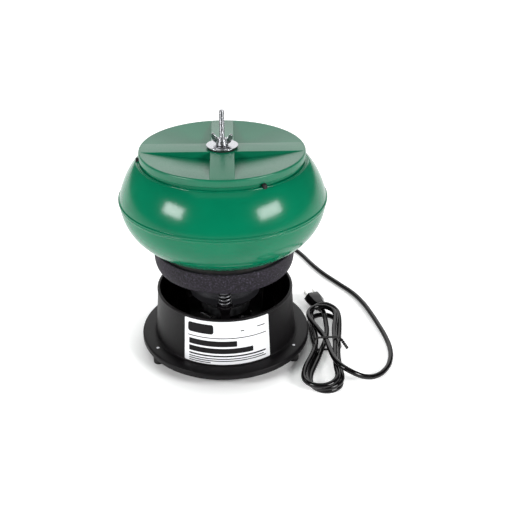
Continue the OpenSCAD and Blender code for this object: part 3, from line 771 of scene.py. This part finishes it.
class TUMBLER_OT_base(PieceOperator, Operator):
    """Adds the round base with its flange, posts and air slots"""
    bl_idname = "tumbler.base"
    bl_label = "Base"

    def execute(self, context):
        points = [(0, 19.5), (110, 19.5), (110, 14.5), (110.5, 14), (112.4, 14), (113, 14.8), (113, 20.1),
                  (112.2, 21.7), (110.4, 22.5), (97.2, 22.5), (96.8, 22.3), (96.2, 22.3), (95.8, 22.6),
                  (94.5, 23.1),
                  (wall_r(24.7), 24.7), (wall_r(55), 55), (wall_r(85.6), 85.6), (wall_r(86.0) + 0.1, 86.0),
                  (wall_r(86.5) + 0.6, 86.5), (89.6, 88.2), (89.2, 88.9), (88.4, 89), (86.6, 89), (86, 88.2),
                  (91, 23.5), (90, 22.5), (0, 22.5)]
        bm = spun(points, self.sizes.spin_steps, False, 0.35, 2, 24)
        posts = spun([(0, 21.5), (9.05, 21.5), (5.6, 84), (0, 84)], 40, False)
        copies_round(posts, 3, SPRING_CIRCLE)
        holes = block((6, 24, 40), (0, 0, 20))
        copies_round(holes, 12, 40, 15)
        screws = spun([(0, 0), (2.2, 0), (2.2, 60), (0, 60)], 24, False)
        copies_round(screws, 3, FOOT_CIRCLE, 60)
        joined(holes, screws)
        gland = spun([(0, 0), (6, 0), (6, 120), (0, 120)], 32, False)
        rotate(gland, Matrix.Rotation(-math.pi / 2, 4, "X"))
        move(gland, (0, 0, GLAND_Z * MM))
        bm = combined(bm, holes, "DIFFERENCE")
        bm = combined(bm, gland, "DIFFERENCE")
        joined(bm, posts)
        place_piece("base_moulding", bm, "moulded_black_plastic", "base", "base_housing", 30)
        return {"FINISHED"}


class TUMBLER_OT_label(PieceOperator, Operator):
    """Adds the white label and its plain generic print"""
    bl_idname = "tumbler.label"
    bl_label = "Label"

    def execute(self, context):
        film = self.patch(-34.2, 37, 24.2, 85.6, 0.05, 0.35, 48)
        place_piece("label_film", film, "label_film", "base", "rating_label", 40)
        ink = bmesh.new()
        # a rounded block, rules and bars in place of any words: (from, to in degrees, low, high)
        for a0, a1, z0, z1, corner in (
            (-31, -9.5, 67.5, 81, 3.2), (-31, 34, 61.5, 62.7, 0.3), (-30, 9, 50, 58, 0.8), (-30, 22, 40,
                                                                                            47.5, 0.8),
            (12, 15, 71, 72.4, 0.3), (26, 33, 73, 74.4, 0.3), (-30, 33, 35.2, 37.4, 0.6), (-30, 31, 31.6, 33,
                                                                                           0.4),
            (-30, 33, 28.6, 30, 0.4), (-30, -12, 25.8, 27, 0.4),
        ):
            joined(ink, self.patch(a0, a1, z0, z1, 0.41, 0.06, 24, corner))
        print_piece = place_piece("label_print", ink, "label_ink", "base")
        return {"FINISHED"}

    def patch(self, a0, a1, z0, z1, stand_off, thick, columns, corner=1.5):
        """A rounded rectangle wrapped on the base's wall between two angles and two heights."""
        bm = bmesh.new()
        width = math.radians(a1 - a0) * 92
        verts = [bm.verts.new((x * width / 2 * MM, 0, z * (z1 - z0) / 2 * MM)) for x, z in
                 ((-1, -1), (1, -1), (1, 1), (-1, 1))]
        face = bm.faces.new(verts)
        bmesh.ops.bevel(bm, geom=face.verts[:], offset=corner * MM, segments=4, profile=0.5,
                        affect="VERTICES",
                        material=-1)
        for i in range(1, columns):
            x = (-width / 2 + width * i / columns) * MM
            bmesh.ops.bisect_plane(bm, geom=bm.verts[:] + bm.edges[:] + bm.faces[:], plane_co=(x, 0, 0),
                                   plane_no=(1, 0, 0), dist=1e-7)
        bmesh.ops.solidify(bm, geom=bm.faces[:], thickness=-thick * MM)
        middle = math.radians((a0 + a1) / 2)
        for vert in bm.verts:
            z = vert.co.z / MM + (z0 + z1) / 2
            angle = middle + vert.co.x / MM / 92
            radius = (wall_r(z) + stand_off + abs(vert.co.y) / MM) * MM
            vert.co = (radius * math.sin(angle), -radius * math.cos(angle), z * MM)
        bmesh.ops.recalc_face_normals(bm, faces=bm.faces)
        return bm


class TUMBLER_OT_feet(PieceOperator, Operator):
    """Adds the three rubber feet and their screws"""
    bl_idname = "tumbler.feet"
    bl_label = "Feet"

    def execute(self, context):
        for node, angle in (("foot_left", -60), ("foot_right", 60), ("foot_rear", 180)):
            foot = spun([(4.6, 0), (6.2, 0), (6.8, 1), (6.9, 9), (6.9, 19.5), (2.2, 19.5), (2.2, 8), (4.6,
                                                                                                      8)],
                                                                                                      48,
                                                                                                      True,
                                                                                                      0.5,
                        3)
            copies_round(foot, 1, FOOT_CIRCLE, angle)
            place_piece("rubber_" + node, foot, "soft_black_rubber", "base", node)
        head = spun([(0, 22.52), (3.9, 22.52), (3.9, 23.1), (3.3, 24.2), (2, 24.8), (0, 24.9)], 40, False,
                    0.15, 2)
        cross = block((0.9, 4.4, 4), (0, 0, 25.4))
        joined(cross, block((4.4, 0.9, 4), (0, 0, 25.4)))
        head = combined(head, cross, "DIFFERENCE")
        shank = spun([(0, 4), (1.6, 4), (2, 4.6), (2, 22.6), (0, 22.6)], 24, False)
        joined(head, shank)
        copies_round(head, 3, FOOT_CIRCLE, 60)
        place_piece("foot_screw_set", head, "bright_zinc_plate", "base", "foot_screws", 30)
        return {"FINISHED"}


class TUMBLER_OT_gland(PieceOperator, Operator):
    """Adds the ribbed strain relief in the rear wall and the wires inside"""
    bl_idname = "tumbler.gland"
    bl_label = "Strain relief"

    def execute(self, context):
        y = wall_r(GLAND_Z)
        ribs = [(0, y - 7), (7.5, y - 7), (7.5, y - 4), (5.9, y - 4), (5.9, y + 0.6), (8, y + 0.6), (8,
                                                                                                     y + 3.4)]
        for i in range(5):
            at, radius = y + 4 + i * 4.8, 6.0 - i * 0.32
            ribs += [(radius - 1.0, at), (radius - 1.0, at + 1.5), (radius, at + 2.0), (radius - 0.1,
                                                                                        at + 4.2)]
        ribs += [(4.4, 121.2), (3.6, 122), (0, 122)]
        bm = spun(ribs, 40, False, 0.25, 2)
        rotate(bm, Matrix.Rotation(-math.pi / 2, 4, "X"))
        move(bm, (0, 0, GLAND_Z * MM))
        place_piece("ribbed_strain_relief", bm, "soft_black_rubber", "base", "strain_relief")
        for side, name in ((-1, "lead_left"), (1, "lead_right")):
            wire = self.wire(name, [(side * 4, 53.8, 40), (side * 5, 49, 43), (side * 8, 44, 52), (side * 10,
                                                                                                   42, 66),
                                    (side * 9, 40, 82.5)])
            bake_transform(wire)
            if side == 1:
                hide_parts("motor_leads")
        return {"FINISHED"}

    def wire(self, name, points):
        """A round wire along a smooth path, as a mesh."""
        curve = bpy.data.curves.new(name, "CURVE")
        curve.dimensions, curve.bevel_depth, curve.bevel_resolution, curve.resolution_u = "3D", 1.3 * MM, 4, 8
        spline = curve.splines.new("BEZIER")
        spline.bezier_points.add(len(points) - 1)
        for handle, point in zip(spline.bezier_points, points):
            handle.co = [c * MM for c in point]
            handle.handle_left_type = handle.handle_right_type = "AUTO"
        source = bpy.data.objects.new(name + "_path", curve)
        bpy.context.scene.collection.objects.link(source)
        mesh = bpy.data.meshes.new_from_object(source.evaluated_get(bpy.context.evaluated_depsgraph_get()))
        bpy.data.objects.remove(source)
        piece = bpy.data.objects.new(name, mesh)
        bpy.context.scene.collection.objects.link(piece)
        paint(piece, "red_lead_vinyl")
        mesh.shade_smooth()
        return piece


class TUMBLER_OT_springs(PieceOperator, Operator):
    """Adds the three coil springs with their lower seats and upper caps"""
    bl_idname = "tumbler.springs"
    bl_label = "Springs"

    def execute(self, context):
        wire = self.sizes.spring_wire / MM
        start, end = 98 + wire, 144 - wire
        for node, angle in (("spring_front", 0), ("spring_right", 120), ("spring_left", 240)):
            bm = coil(7.4, wire, start, (end - start) / 8.75, 8.75)
            copies_round(bm, 1, SPRING_CIRCLE, angle)
            piece = place_piece("coil_" + node, bm, "zinc_spring_wire", None, None, 60)
            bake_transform(piece)
            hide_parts(node)
        seat = spun([(0, 84), (5.6, 84), (6.2, 86), (7.6, 92), (9.8, 96), (9.8, 98), (6.2, 98), (5.6, 98.6),
                     (5.6, 105),
                     (4.6, 106), (0, 106)], 48, False, 0.35, 2, 20)
        copies_round(seat, 3, SPRING_CIRCLE)
        place_piece("spring_seat_set", seat, "moulded_black_plastic", "base", "spring_seats")
        cap = spun([(0, 146), (9.8, 146), (9.8, 144), (5.6, 144), (5.6, 138), (4.6, 137), (0, 137)], 48,
                   False, 0.35, 2)
        copies_round(cap, 3, SPRING_CIRCLE)
        place_piece("spring_cap_set", cap, "moulded_black_plastic", "drum", "spring_caps")
        return {"FINISHED"}


# ---- motor plate and bowl ----

class TUMBLER_OT_motor_plate(PieceOperator, Operator):
    """Adds the coated motor plate and the rubber ring that the bowl sits on"""
    bl_idname = "tumbler.motor_plate"
    bl_label = "Motor plate"

    def execute(self, context):
        drop = 152.3 - 123.2
        outside = arc(85, 139.3, 5.5, drop - 14, 0, -75, 12)
        inside = arc(81.5, 139.3, 5.5, drop - 14, 0, -75, 12)
        points = [(0, 146), (86, 146), (87, 145)] + inside + [(81.5, 123.2), (84.2, 123.2), (85.2, 124)]
        points += outside[::-1] + [(90.5, 151.5), (89.7, 152.3), (87.6, 152.3), (87, 151.7), (87, 150), (0,
                                                                                                         150)]
        plate = spun(points, self.sizes.spin_steps, False, 0.4, 3, 28)
        place_piece("motor_plate_casting", plate, "charcoal_wrinkle_coat", "drum", "motor_plate", 30)
        seat = spun([(58, 150.02), (85.4, 150.02), (85.4, 153.4), (84.6, 154), (84.6, 156.4), (58, 156.4)],
                    128, True,
                    0.6, 2)
        place_piece("bowl_cushion_ring", seat, "soft_black_rubber", "drum", "bowl_seat")
        return {"FINISHED"}


class TUMBLER_OT_bowl(PieceOperator, Operator):
    """Adds the lower and upper bowl shells and the three rubber stops"""
    bl_idname = "tumbler.bowl"
    bl_label = "Bowl"

    def execute(self, context):
        steps = self.sizes.spin_steps
        rounding = self.sizes.seam_rounding / MM
        lower = [(126, 218.66), (129.5, 218.66), (129.9, 218.2), (129.9, 216.5)]
        lower += arc(70, SEAM_Z, 59, 62.2, -3, -90, 40)
        lower += [(46, 156.5), (14, 225.5), (3.4, 225.5), (3.4, 229), (16.6, 229), (50, 159.5)]
        lower += arc(70, SEAM_Z, 56, 59.2, -1, -90, 40)[::-1]
        place_piece("bowl_lower_shell", spun(lower, steps, True, rounding, 2, 26), "glossy_green_abs", "drum",
                    "bowl_lower", 30)
        shell = arc(103, SEAM_Z, 26, 48.3, 8, 84, 38, 1.45) + arc(102.2, 266.1, 1.3, 1.3, 5, 90, 8)
        inner = arc(99.6, SEAM_Z, 26, 48.3, 0, 74, 36, 1.45)
        upper = [(126, 218.74), (129.8, 218.74), (130.2, 219.3), (130.2, 220.9)] + shell
        upper += [(99.4, 267.1), (99.4, 277.4), (98.9, 277.9), (96.9, 277.9), (96.4, 277.4), (96.4, 268.5)]
        upper += inner[::-1]
        place_piece("bowl_upper_shell", spun(upper, steps, True, rounding, 2, 26), "glossy_green_abs", "drum",
                    "bowl_upper", 30)
        stops = bmesh.new()
        for angle in STOP_ANGLES:
            stop = block((3.9, 5, 8.4), (0, 2.6, 266.9), 0.35, 2)
            copies_round(stop, 1, STOP_CIRCLE, angle)
            joined(stops, stop)
        place_piece("rubber_stops", stops, "soft_black_rubber", "drum", "neck_stops")
        return {"FINISHED"}


# ---- rod, lid and clamp ----

class TUMBLER_OT_rod(PieceOperator, Operator):
    """Adds the centre rod with its cut thread"""
    bl_idname = "tumbler.rod"
    bl_label = "Centre rod"

    def execute(self, context):
        pitch = self.sizes.thread_pitch / MM
        top = high("center_rod")[2] / MM
        start, turns, steps = 238.0, int((top - 1.2 - 238.0) / pitch), 20
        crest, root = 3.16, 2.62
        bm = spun([(0, 138), (3.17, 138), (3.17, start), (2.66, start + 0.8), (2.66, top - 0.9), (2.1, top),
                   (0, top)],
                  32, False, 0.1, 1)
        thread = bmesh.new()
        ridge = outline(thread, [(root, start), (crest, start + pitch * 0.44), (crest, start + pitch * 0.56),
                                 (root, start + pitch)], False)
        bmesh.ops.spin(thread, geom=ridge, cent=(0, 0, 0), axis=(0, 0, 1), angle=2 * math.pi * turns,
                       steps=turns * steps, dvec=(0, 0, pitch / steps * MM))
        bmesh.ops.remove_doubles(thread, verts=thread.verts, dist=1e-5)
        bmesh.ops.recalc_face_normals(thread, faces=thread.faces)
        if sum(f.normal.xy.dot(f.calc_center_median().xy) for f in thread.faces) < 0:
            bmesh.ops.reverse_faces(thread, faces=thread.faces)
        joined(bm, thread)
        place_piece("threaded_rod", bm, "bright_zinc_plate", "drum", "center_rod", 50)
        return {"FINISHED"}


class TUMBLER_OT_lid(PieceOperator, Operator):
    """Adds the dished lid with its two crossing ribs"""
    bl_idname = "tumbler.lid"
    bl_label = "Lid"

    def execute(self, context):
        top, wall, drop = high("lid")[2] / MM, 2.2, 10.5
        floor = top - drop
        slope = (drop - 0.1) / (99.4 - 13)
        under = floor - wall
        points = [(3.6, under), (13, under), (99.7, under + 86.7 * slope), (99.7, top - 9.2), (101.3,
                                                                                               top - 9.2),
                  (101.7, top - 8.8), (101.7, top - 2.2), (101.5, top - 1.2), (101.0, top - 0.5), (100.2,
                                                                                                   top - 0.1),
                  (99.6, top - 0.05), (99.2, top - 0.15), (13, floor), (3.6, floor)]
        bm = spun(points, self.sizes.spin_steps, True, 0.3, 2, 30)
        ribs = self.cross(29, under + 0.01, top - 0.02, 99.0, 0.9)
        bm = combined(bm, ribs, "UNION")
        bm = combined(bm, self.cross(24.6, under - 12, top - wall, 96.0, 0.0), "DIFFERENCE")
        hub = spun([(3.6, under), (9, under), (9, top - 0.02), (3.6, top - 0.02)], 48, True)
        bm = combined(bm, hub, "UNION")
        place_piece("lid_moulding", bm, "glossy_green_lid", "lid", "lid", 28)
        return {"FINISHED"}

    def cross(self, width, bottom, top, reach, rounding):
        """Two crossing bars that end on a circle, with their top edges rounded."""
        half = width / 2
        corners = []
        for quarter in range(4):
            a = math.radians(90 * quarter)
            bow = [(math.sqrt(reach ** 2 - y ** 2), y) for y in [half * (2 * i / 12 - 1) for i in range(13)]]
            for x, y in bow + [(half, half)]:
                corners.append((x * math.cos(a) - y * math.sin(a), x * math.sin(a) + y * math.cos(a)))
        bm = bmesh.new()
        face = bm.faces.new([bm.verts.new((x * MM, y * MM, bottom * MM)) for x, y in corners])
        extrude(bm, face, (0, 0, (top - bottom) * MM))
        bmesh.ops.recalc_face_normals(bm, faces=bm.faces)
        if rounding:
            level = (top - 0.01) * MM
            rims = [e for e in bm.edges if all(v.co.z > level for v in e.verts) and len(e.link_faces) == 2
                    and e.calc_face_angle(0) > 1 and min(abs(e.verts[0].co.x),
                                                         abs(e.verts[0].co.y)) < (half + 0.1) * MM
                    and max(v.co.xy.length for v in e.verts) <= (reach + 0.1) * MM]
            bmesh.ops.bevel(bm, geom=rims, offset=rounding * MM, segments=3, profile=0.5, affect="EDGES",
                            clamp_overlap=True, material=-1)
        return bm


class TUMBLER_OT_clamp(PieceOperator, Operator):
    """Adds the rubber and steel washers and the wing nut on the lid"""
    bl_idname = "tumbler.clamp"
    bl_label = "Clamp"

    def execute(self, context):
        z = low("seal_washer")[2] / MM
        seal = spun([(3.6, z), (18.5, z), (18.5, z + 2), (3.6, z + 2)], 96, True, 0.3, 2)
        place_piece("rubber_seal_washer", seal, "soft_black_rubber", "clamp_washers", "seal_washer")
        z = low("flat_washer")[2] / MM
        washer = spun([(3.4, z), (19.5, z), (19.5, z + 1.6), (3.4, z + 1.6)], 96, True, 0.35, 3)
        place_piece("fender_washer", washer, "bright_zinc_plate", "clamp_washers", "flat_washer")
        self.wing_nut(low("wing_nut")[2] / MM)
        return {"FINISHED"}

    def wing_nut(self, z):
        """A cast nut: a turned hub with two wings, fused and softened."""
        bm = spun([(3.24, 0.4), (3.9, 0), (7.0, 0), (7.4, 0.4), (5.4, 8.0), (4.9, 8.4), (3.9, 8.4), (3.24,
                                                                                                     7.8)],
                                                                                                     48, True)
        wing = [(3.6, 0.8), (7.5, 1.2), (11, 4), (13.1, 9), (13.3, 12.2), (11.9, 14.1), (9.6, 13.6), (7.8,
                                                                                                      10.5),
                (5.2, 8.2), (3.6, 7.6)]
        for turn in (0, 180):
            fin = bmesh.new()
            face = fin.faces.new([fin.verts.new((x * MM, -1.15 * MM, h * MM)) for x, h in wing])
            extrude(fin, face, (0, 2.3 * MM, 0))
            bmesh.ops.recalc_face_normals(fin, faces=fin.faces)
            round_edges(fin, 0.5, 2, 40)
            rotate(fin, turned(turn))
            joined(bm, fin)
        rotate(bm, turned(-12))
        move(bm, (0, 0, z * MM))
        piece = place_piece("cast_wing_nut", bm, "bright_zinc_plate", "wing_nut", "wing_nut", 180)
        fuse = piece.modifiers.new("fuse", "REMESH")
        fuse.mode, fuse.voxel_size, fuse.use_smooth_shade = "VOXEL", 0.28 * MM, True
        soften = piece.modifiers.new("soften", "SMOOTH")
        soften.factor, soften.iterations = 0.5, 4
        mesh = bpy.data.meshes.new_from_object(piece.evaluated_get(bpy.context.evaluated_depsgraph_get()))
        piece.modifiers.clear()
        piece.data = mesh
        mesh.shade_smooth()


# ---- pieces that keep their CAD shape ----

KEPT_NODES = {
    "bright_zinc_plate": ("foot_nuts", "clamp_screw", "rod_nuts", "rod_washer", "motor_standoffs",
                          "motor_bolts",
                          "bolt_nuts"),
    "ground_steel": ("rotor_shaft", "eccentric_weight"),
    "black_oxide_steel": ("weight_screw",),
    "moulded_black_plastic": ("cord_clamp", "cooling_fan"),
    "glossy_cord_vinyl": ("inner_cord",),
    "terminal_nylon": ("terminal_block",),
    "plain_brass": ("terminal_screws", "upper_bush", "lower_bush"),
    "stacked_steel": ("stator_core", "rotor_core"),
    "enamelled_copper": ("stator_windings",),
    "motor_bracket_paint": ("upper_bracket", "lower_bracket"),
}


class TUMBLER_OT_motor(PieceOperator, Operator):
    """Gives the motor and the small hardware their finishes"""
    bl_idname = "tumbler.motor"
    bl_label = "Motor and hardware"

    def execute(self, context):
        for material, nodes in KEPT_NODES.items():
            for node in nodes:
                paint(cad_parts[node], material)
        return {"FINISHED"}


STEPS = (TUMBLER_OT_stage, TUMBLER_OT_cord, TUMBLER_OT_tie, TUMBLER_OT_plug, TUMBLER_OT_base,
         TUMBLER_OT_label,
         TUMBLER_OT_feet, TUMBLER_OT_gland, TUMBLER_OT_springs, TUMBLER_OT_motor_plate, TUMBLER_OT_bowl,
         TUMBLER_OT_rod, TUMBLER_OT_lid, TUMBLER_OT_clamp, TUMBLER_OT_motor)


class TUMBLER_PT_pieces(Panel):
    """Lists the tumbler's pieces, sizes and colours"""
    bl_idname = "TUMBLER_PT_pieces"
    bl_label = "Tumbler"
    bl_space_type = "VIEW_3D"
    bl_region_type = "UI"
    bl_category = "Tumbler"

    def draw(self, context):
        for group in (context.scene.tumbler_sizes, context.scene.tumbler_colours):
            box = self.layout.box()
            for key in group.__annotations__:
                box.prop(group, key)
        for step in STEPS:
            self.layout.operator(step.bl_idname)


CLASSES = (TumblerSizes, TumblerColours, *STEPS, TUMBLER_PT_pieces)


def register():
    for item in CLASSES:
        bpy.utils.register_class(item)
    bpy.types.Scene.tumbler_sizes = PointerProperty(type=TumblerSizes)
    bpy.types.Scene.tumbler_colours = PointerProperty(type=TumblerColours)


def unregister():
    del bpy.types.Scene.tumbler_colours
    del bpy.types.Scene.tumbler_sizes
    for item in reversed(CLASSES):
        bpy.utils.unregister_class(item)


def main():
    register()
    for step in STEPS:
        group, name = step.bl_idname.split(".")
        getattr(getattr(bpy.ops, group), name)()


if __name__ == "__main__":
    main()
